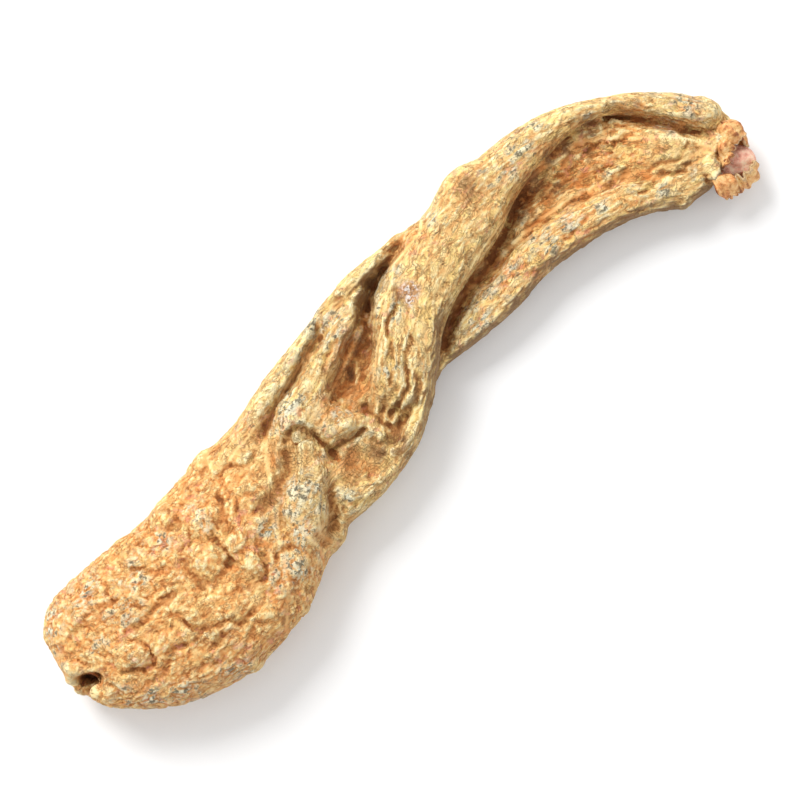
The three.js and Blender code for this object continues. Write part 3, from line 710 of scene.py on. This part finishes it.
def paint_skin(material):
    material.use_nodes = True
    tree = material.node_tree
    shader = tree.nodes["Principled BSDF"]
    in_mm = place_in_mm(tree)
    pebbly, groove, furrow, seam, rippled, scab = (
        attribute(tree, name) for name in ("pebbly", "groove", "furrow", "seam", "rippled", "scab")
    )
    wavy = swayed(tree, attribute(tree, "flow", "Vector"), noise(tree, in_mm, 2.6, 2.0)[1], 2.4)
    long_fibres, short_fibres = stretched(tree, wavy, 2.5, 1.0), stretched(tree, wavy, 1.3, 1.0)
    whole = maths(tree, "SUBTRACT", 1.0, seam)

    def plus(a, b):
        return maths(tree, "ADD", a, b)

    def less(a, b):
        return maths(tree, "SUBTRACT", a, b)

    def times(a, b):
        return maths(tree, "MULTIPLY", a, b)

    def larger(a, b):
        return maths(tree, "MAXIMUM", a, b)

    def by_place(neck, bulb):
        """A value for the neck and one for the bulb, merging between them."""
        return blend(tree, pebbly, neck, bulb)

    def fibrous(size, detail=3.0):
        """Noise drawn out along the fibres of the neck, and rounder over the bulb."""
        return by_place(
            noise(tree, long_fibres, size, detail)[0],
            noise(tree, short_fibres, size * 1.1, detail)[0],
        )

    def spots(size, low, high, strength=1.0, detail=3.0):
        return span(tree, noise(tree, in_mm, size, detail)[0], low, high, 0.0, strength)

    # Height in the creases picks painted shade, darker in creases and paler on ridges, and mottling and
    # streaks vary the skin's own tone.
    mottle = less(noise(tree, in_mm, 1.5, 4.0)[0], 0.5)
    streak = less(fibrous(0.8), 0.5)
    tone_and_shade = less(0.6, times(groove, by_place(3.2, 2.8)))
    tone_and_shade = less(tone_and_shade, times(furrow, 0.35))
    tone_and_shade = plus(tone_and_shade, times(mottle, by_place(0.5, 0.75)))
    tone_and_shade = plus(tone_and_shade, times(times(streak, 0.8), whole))
    tone_and_shade = less(tone_and_shade, times(pebbly, 0.03))

    # Cream skin, thinning to tan flesh where it is sheltered and in patches.
    sheltered = span(tree, furrow, 0.1, 0.9)
    patchy = plus(spots(5.0, 0.4, 0.6, 0.4), spots(1.6, 0.44, 0.6, 0.35))
    flesh = plus(attribute(tree, "amber"), times(patchy, by_place(0.55, 1.0)))
    flesh = larger(flesh, sheltered)
    flesh.node.use_clamp = True
    skin = coated(tree, flesh, ramp(tree, tone_and_shade, CREAM_TONES), ramp(tree, tone_and_shade, TAN_TONES))
    grains = times(span(tree, fibrous(1.2, 2.0), 0.52, 0.6), by_place(0.5, 0.2))
    skin = coated(tree, times(grains, whole), skin, GRAIN_YELLOW)
    skin = coated(tree, times(attribute(tree, "orange"), spots(2.4, 0.25, 0.6, 0.65)), skin, FLESH_ORANGE)
    # Painted shadow under the ribbon's edge and at its foot.
    skin = coated(tree, times(attribute(tree, "brown"), spots(1.4, 0.34, 0.55, 0.85)), skin, RIBBON_SHADOW_BROWN)
    skin = coated(tree, times(spots(1.2, 0.54, 0.64), spots(7.0, 0.46, 0.6, 0.5)), skin, FLESH_PINK)

    # Thin dark lines lie in the finest wrinkles.
    long_lines = times(fine_lines(tree, fibrous(1.3, 4.0), 0.045), spots(1.7, 0.4, 0.58))
    short_lines = times(fine_lines(tree, fibrous(0.7, 3.0), 0.055), 0.7)
    thin = times(larger(long_lines, short_lines), span(tree, seam, 0.5, 1.0, 1.0, 0.0))
    broken = times(spots(1.9, 0.4, 0.56, 0.85), by_place(1.0, 0.9))
    line_colour = coated(tree, pebbly, NECK_LINE, BULB_LINE)
    skin = coated(tree, times(thin, broken), skin, line_colour)

    # Fine ripples cross the fibres where the skin bunched up.
    bands = {"Vector": wavy, "Scale": 0.45, "Distortion": 13.0, "Detail": 3.0, "Detail Scale": 0.5}
    bands = node(tree, "ShaderNodeTexWave", bands, bands_direction="X").outputs["Fac"]
    ripples = times(times(span(tree, bands, 0.4, 0.05), rippled), spots(1.6, 0.34, 0.56))
    skin = coated(tree, times(rippled, 0.3), skin, RIPPLE_TAN)
    skin = coated(tree, times(ripples, 0.4), skin, RIPPLE_BROWN)

    # Grey-white bloom with dark specks, on the ridges.
    raised = span(tree, groove, 0.06, -0.05)
    chance = spots(9.0, 0.54, 0.68, 0.8)
    dusty = times(larger(times(attribute(tree, "bloom"), 1.4), chance), spots(2.2, 0.4, 0.6, 1.0, 4.0))
    dusty = times(dusty, raised)
    skin = coated(tree, times(dusty, 0.7), skin, BLOOM_WHITE)
    speck = times(spots(0.7, 0.48, 0.6, 0.85, 4.0), span(tree, dusty, 0.15, 0.6))
    speck = larger(speck, times(spots(0.7, 0.6, 0.7, 0.7), spots(5.0, 0.45, 0.6)))
    skin = coated(tree, speck, skin, BLOOM_SPECK)

    # Painted shade: the deepest creases are brown, and so is the side turned away from the lamp.
    crease_shade_share = plus(span(tree, groove, 0.12, 0.34, 0.0, 0.6), span(tree, furrow, 0.5, 1.5, 0.0, 0.5))
    crease_shade_share = plus(crease_shade_share, times(attribute(tree, "hollow_shade"), spots(1.6, 0.25, 0.6, 0.9)))
    crease_shade_share.node.use_clamp = True
    skin = coated(tree, times(crease_shade_share, 0.88), skin, coated(tree, pebbly, NECK_CREASE_SHADE, BULB_CREASE_SHADE))
    # Painted shade on the side turned away from the lamp.
    skin = coated(tree, times(attribute(tree, "shaded_side"), spots(3.0, 0.1, 0.55, 0.85)), skin, SHADED_SIDE_BROWN)

    # The scab is crusty, and the pits get painted shade, darkest where they are deepest.
    skin = coated(tree, times(scab, spots(1.1, 0.25, 0.5, 0.9)), skin, SCAB_PINK)
    skin = coated(tree, times(scab, spots(0.6, 0.48, 0.58)), skin, SCAB_WHITE)
    skin = coated(tree, times(scab, spots(0.4, 0.54, 0.6, 0.85)), skin, SCAB_SPECK)
    skin = coated(tree, times(attribute(tree, "pit"), span(tree, furrow, 0.0, 0.6)), skin, PIT_SHADE_BROWN)
    tree.links.new(skin, shader.inputs["Base Color"])
    tree.links.new(span(tree, tone_and_shade, 0.1, 0.9, 0.86, 0.66), shader.inputs["Roughness"])
    shader.inputs["Specular IOR Level"].default_value = 0.3

    height = plus(times(times(fibrous(0.5, 4.0), 0.8), whole), times(noise(tree, in_mm, 0.45)[0], 0.5))
    height = less(less(height, times(thin, 0.4)), times(ripples, 0.6))
    bumped(tree, shader, times(height, by_place(1.0, 0.7)), 1.0, SKIN_BUMP)


paint_skin(skin_finish)
carved.polygons.foreach_set("use_smooth", np.ones(len(carved.polygons), bool))
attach(body, "root")
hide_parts("tuber_body")

# ==== The bud ====
# The blunt tip of next year's shoot, dried with the tuber. It is pinkish flesh, drawn into small
# lengthwise puckers, and it grows straight out of the neck's end.

BUD_FOOT = (60.6, 3.1, 4.7)  # on the tuber's plan, and its height
BUD_HEADING = -0.88  # turn from +X, in radians about Z
BUD_LENGTH = 6.4
BUD_RADII = (2.4, 1.8)  # across and up
BUD_ROWS, BUD_COLUMNS = 90, 120
BUD_GROOVE_ROUNDS = 12
BUD_TONES = [(0.32, 0xC27862), (0.45, 0xEAA68C), (0.56, 0xF6C2A6), (0.68, 0xFCE2C2)]
BUD_PALE, PUCKER_SHADE_RED = 0xF6E0C0, 0x8A3F2C
BUD_BUMP = 0.25  # mm


def from_plan(points):
    """Points (x, y, height) of the plan, in mm, as points of the tuber's frame."""
    return points + np.append(body_corner[:2] - PLAN_CORNER, 0)


def grid_mesh(name, points, rows, columns, closed):
    """Faces over rows and columns of points. A closed grid joins its last column to its first, with caps."""
    faces = []
    for row in range(rows - 1):
        for column in range(columns if closed else columns - 1):
            a, b = row * columns + column, row * columns + (column + 1) % columns
            faces.append((a, b, b + columns, a + columns))
    if closed:
        faces.append(tuple(reversed(range(columns))))
        faces.append(tuple(range((rows - 1) * columns, rows * columns)))
    mesh = bpy.data.meshes.new(name)
    mesh.from_pydata([tuple(p) for p in points * MM], [], faces)
    whole = bmesh.new()
    whole.from_mesh(mesh)
    bmesh.ops.recalc_face_normals(whole, faces=whole.faces)
    whole.to_mesh(mesh)
    whole.free()
    mesh.polygons.foreach_set("use_smooth", np.ones(len(mesh.polygons), bool))
    return mesh


turns = np.arange(BUD_COLUMNS) / BUD_COLUMNS * 2 * np.pi
rise, turn = (grid.ravel() for grid in np.meshgrid(np.linspace(0, 1, BUD_ROWS), turns, indexing="ij"))
girth = np.sqrt(np.clip(1 - ((rise - 0.5) / 0.52) ** 2, 0, 1)) * 0.95 + 0.03
puckers = 1 + 0.1 * np.cos(7 * turn + 4 * rise + 2 * np.cos(turn))
puckers += 0.2 * ripple(1.3 * np.cos(turn), 1.3 * np.sin(turn) + 2.4 * rise, 2)
bud_way = np.array([np.cos(BUD_HEADING), np.sin(BUD_HEADING), 0])
bud_side = np.array([-bud_way[1], bud_way[0], 0])
bud_points = (
    np.outer(rise * BUD_LENGTH, bud_way)
    + np.outer(np.cos(turn) * girth * puckers * BUD_RADII[0], bud_side)
    + np.outer(np.sin(turn) * girth * puckers * BUD_RADII[1], (0, 0, 1))
)
bud_mesh = grid_mesh("bud_tip", from_plan(bud_points + BUD_FOOT), BUD_ROWS, BUD_COLUMNS, closed=True)
store(bud_mesh, "groove", sunken(bud_mesh, BUD_GROOVE_ROUNDS))
bud_finish = bpy.data.materials.new("bud_flesh")
bud_mesh.materials.append(bud_finish)
bud = new_object("bud_tip", bud_mesh)


def paint_bud(material):
    material.use_nodes = True
    tree = material.node_tree
    shader = tree.nodes["Principled BSDF"]
    in_mm = place_in_mm(tree)
    fine = noise(tree, in_mm, 0.35, 4.0)[0]
    flesh = ramp(tree, noise(tree, in_mm, 1.3)[0], BUD_TONES)
    flesh = coated(tree, span(tree, fine, 0.5, 0.64, 0.0, 0.5), flesh, BUD_PALE)
    # Painted shade darkens the grooves between the puckers.
    flesh = coated(tree, span(tree, attribute(tree, "groove"), 0.0, 0.12, 0.0, 0.7), flesh, PUCKER_SHADE_RED)
    tree.links.new(flesh, shader.inputs["Base Color"])
    shader.inputs["Roughness"].default_value = 0.6
    bumped(tree, shader, fine, 0.8, BUD_BUMP)


paint_bud(bud_finish)
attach(bud, "root")
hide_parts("bud")

# ==== The scale leaves ====
# Four thin, dead leaves that once wrapped the bud. They are papery, brown where they are thick at the foot,
# with a painted highlight along their free edges, which are crumpled and torn, and they grow from the rim of
# the neck's end.

# Each leaf: its warmth from pale straw to rust, how much it crumples, how strongly it is ribbed, and
# its rails from the foot to the free edge, in plan mm with heights.
LEAVES = {
    "bud_scale_top": (0.5, 0.5, 0.42, [
        [(60.2, 0.6, 6.6), (61, 2.8, 6.8), (62, 4.9, 7), (63.2, 6.4, 6.8), (64.6, 7, 5.4)],
        [(60.8, 0.7, 8), (61.6, 2.5, 8.2), (62.5, 4.3, 8.3), (63.6, 5.6, 8), (65.1, 6, 6.2)],
        [(61.3, 0.9, 8.2), (62.1, 2.1, 8.4), (63.1, 3.3, 8.5), (64.2, 4.2, 8), (65.6, 4.4, 6.3)],
        [(61.6, 1, 7.4), (62.5, 1.8, 7.7), (63.6, 2.4, 7.7), (64.8, 2.6, 7.2), (65.8, 2.8, 5.9)],
    ]),
    "bud_scale_far": (0.7, 0.4, 0.2, [
        [(63.8, 6.6, 7), (64.6, 6.4, 5.2), (63.8, 5.4, 3.2)],
        [(65, 5.2, 7.3), (65.8, 5.1, 5.2), (65, 4.6, 2.8)],
        [(65.1, 3.2, 6.9), (65.9, 3.1, 5), (65.3, 3, 2.8)],
        [(64.8, 1.2, 6.3), (65.5, 1, 4.8), (65.1, 1.2, 3.2)],
    ]),
    "bud_scale_near": (0.65, 0.32, 0.2, [
        [(57.6, 0.2, 7.3), (58.8, 0.2, 7.9), (60.2, -0.4, 7.2), (61.2, -1.4, 5.6)],
        [(57.3, -1.3, 7.2), (58.7, -1.6, 7.8), (60.1, -2.1, 7), (61, -2.8, 5.2)],
        [(57.4, -2.6, 5.6), (58.6, -3.2, 6), (59.9, -3.5, 5.5), (60.8, -3.6, 4.4)],
        [(58, -2.9, 3.4), (58.9, -3.9, 3.5), (60, -3.8, 3.5), (60.6, -3.5, 3.2)],
    ]),
    "bud_scale_under": (0.35, 0.4, 0.32, [
        [(59.8, -0.6, 3.2), (61.2, -1, 2.4), (62.6, -0.8, 2.4), (63.8, 0.2, 2.8)],
        [(60.4, -2.8, 2.8), (61.9, -3.1, 2), (63.4, -2.6, 2), (64.8, -1.3, 2.8)],
        [(60.6, -3.7, 4.6), (62.3, -4.1, 4.4), (64.2, -3.2, 4.4), (65, -1.6, 4.4)],
        [(60.6, -1.2, 7.2), (62.2, -1.4, 7.3), (63.5, -1.4, 7), (64.3, -0.6, 6.2)],
    ]),
}
LEAF_THICKNESS = 0.3
LEAF_ROWS, LEAF_COLUMNS = 70, 110
LEAF_GROOVE_ROUNDS = 10
STRAW_TONES = [(0.3, 0xA0622E), (0.44, 0xDDA864), (0.55, 0xF2D08E), (0.72, 0xFBEBBE)]
RUST_TONES = [(0.3, 0x7A3418), (0.44, 0xC6723A), (0.55, 0xE6A060), (0.72, 0xF4CC90)]
RIM_HIGHLIGHT_STRAW = 0xF3DDAA
LEAF_BUMP = 0.25  # mm

leaf_finish = bpy.data.materials.new("papery_scale")


def paint_leaf(material):
    material.use_nodes = True
    tree = material.node_tree
    shader = tree.nodes["Principled BSDF"]
    in_mm = place_in_mm(tree)
    mottle = noise(tree, in_mm, 0.9, 4.0)[0]
    fine = noise(tree, in_mm, 0.3, 4.0)[0]
    shade = maths(tree, "ADD", maths(tree, "MULTIPLY", mottle, 0.7), maths(tree, "MULTIPLY", fine, 0.4))
    shade = maths(tree, "SUBTRACT", shade, maths(tree, "MULTIPLY", attribute(tree, "groove"), 4.5))
    warm_spots = span(tree, noise(tree, in_mm, 1.8)[0], 0.4, 0.65, -0.3, 0.3)
    turned = maths(tree, "ADD", attribute(tree, "warmth"), warm_spots)
    turned.node.use_clamp = True
    papery = coated(tree, turned, ramp(tree, shade, STRAW_TONES), ramp(tree, shade, RUST_TONES))
    # A painted highlight along each leaf's free edge.
    rim = span(tree, attribute(tree, "leaf_height"), 0.9, 1.0, 0.0, 0.5)
    papery = coated(tree, rim, papery, RIM_HIGHLIGHT_STRAW)
    tree.links.new(papery, shader.inputs["Base Color"])
    shader.inputs["Roughness"].default_value = 0.7
    bumped(tree, shader, fine, 0.8, LEAF_BUMP)


paint_leaf(leaf_finish)
across = np.linspace(0, 1, LEAF_COLUMNS)
heights = np.linspace(0, 1, LEAF_ROWS)
up, side = np.meshgrid(heights, across, indexing="ij")
for seed, (name, (warmth, crumple, ribs, rails)) in enumerate(LEAVES.items()):
    rails = np.array(rails)
    torn = 0.08 * ripple(4 * across, 0, seed) + 0.05 * ripple(11 * across, 0, seed + 5)
    full = through(rails.swapaxes(0, 1), across * (rails.shape[1] - 1))
    sheet = np.stack([
        through(column, heights * (1 - abs(tear)) * (len(rails) - 1)) for column, tear in zip(full, torn)
    ], axis=1)
    along_row, along_column = np.gradient(sheet, axis=1), np.gradient(sheet, axis=0)
    facing = np.cross(along_row, along_column)
    facing /= np.linalg.norm(facing, axis=2, keepdims=True)
    wave = crumple * ripple(2.4 * side, 2 * up, seed + 2) + 0.4 * crumple * ripple(7 * side, 5 * up, seed + 9)
    wave += ribs * np.cos(22 * side + 3 * ripple(side, up, seed + 4)) * (0.3 + 0.7 * up)
    sheet += facing * (wave * (0.4 + 0.6 * ease(up, 0, 0.3)))[..., None]
    leaf_mesh = grid_mesh(name, from_plan(sheet.reshape(-1, 3)), LEAF_ROWS, LEAF_COLUMNS, closed=False)
    store(leaf_mesh, "leaf_height", up.ravel())
    store(leaf_mesh, "warmth", np.full(up.size, warmth))
    leaf_mesh.materials.append(leaf_finish)
    leaf = new_object(name.replace("bud_", "") + "_leaf", leaf_mesh)
    thick = leaf.modifiers.new("thickness", "SOLIDIFY")
    thick.thickness = LEAF_THICKNESS * MM
    thick.offset = 0
    leaf.data = finished_mesh(leaf)
    leaf.modifiers.clear()
    store(leaf.data, "groove", np.abs(sunken(leaf.data, LEAF_GROOVE_ROUNDS)))
    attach(leaf, "root")
    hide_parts(name)

# ==== The table, the light and the camera ====
# A plain pale tabletop, a soft lamp above the upper left of the view in a white room, and a camera
# looking straight down, turned so that the tuber lies from the lower left of the view to the upper right.

TABLE_SIZE = 5
TABLE_WHITE = (0.9, 0.9, 0.9, 1)
table_mesh = bpy.data.meshes.new("table")
half = TABLE_SIZE / 2
corners = [(-half, -half, 0), (half, -half, 0), (half, half, 0), (-half, half, 0)]
table_mesh.from_pydata(corners, [], [(0, 1, 2, 3)])
table = new_object("table", table_mesh)
table_finish = bpy.data.materials.new("pale_table")
table_finish.use_nodes = True
table_shader = table_finish.node_tree.nodes["Principled BSDF"]
table_shader.inputs["Base Color"].default_value = TABLE_WHITE
table_shader.inputs["Roughness"].default_value = 0.9
table_mesh.materials.append(table_finish)

VIEW_TURN = np.radians(-35)  # the camera's turn about Z
VIEW_CENTRE = np.array([-0.56, -1.36]) * MM
VIEW_HEIGHT = 0.343
LENS_LENGTH, SENSOR_WIDTH = 100, 36  # mm
LAMP_POWER = 3.5  # watts
LAMP_SIZE = 0.28
LAMP_PLACE = (-0.28, 0.36, 0.4)  # to the right of and up from the view's middle, and above the table
ROOM_BRIGHTNESS = 0.86

view_right = Vector((np.cos(VIEW_TURN), np.sin(VIEW_TURN), 0))
view_up = Vector((-np.sin(VIEW_TURN), np.cos(VIEW_TURN), 0))
light = bpy.data.lights.new("key_lamp", "AREA")
light.energy = LAMP_POWER
light.size = LAMP_SIZE
lamp = new_object("key_lamp", light)
lamp.location = view_right * LAMP_PLACE[0] + view_up * LAMP_PLACE[1] + Vector((0, 0, LAMP_PLACE[2]))
lamp.rotation_euler = (-lamp.location).to_track_quat("-Z", "Y").to_euler()

room = bpy.data.worlds.new("studio")
bpy.context.scene.world = room
room.use_nodes = True
room.node_tree.nodes["Background"].inputs["Color"].default_value = (1, 1, 1, 1)
room.node_tree.nodes["Background"].inputs["Strength"].default_value = ROOM_BRIGHTNESS
bpy.context.scene.view_settings.view_transform = "Standard"

lens = bpy.data.cameras.new("camera")
lens.lens = LENS_LENGTH
lens.sensor_width = SENSOR_WIDTH
camera = new_object("camera", lens)
camera.location = (VIEW_CENTRE[0], VIEW_CENTRE[1], VIEW_HEIGHT)
camera.rotation_euler = (0, 0, VIEW_TURN)
bpy.context.scene.camera = camera
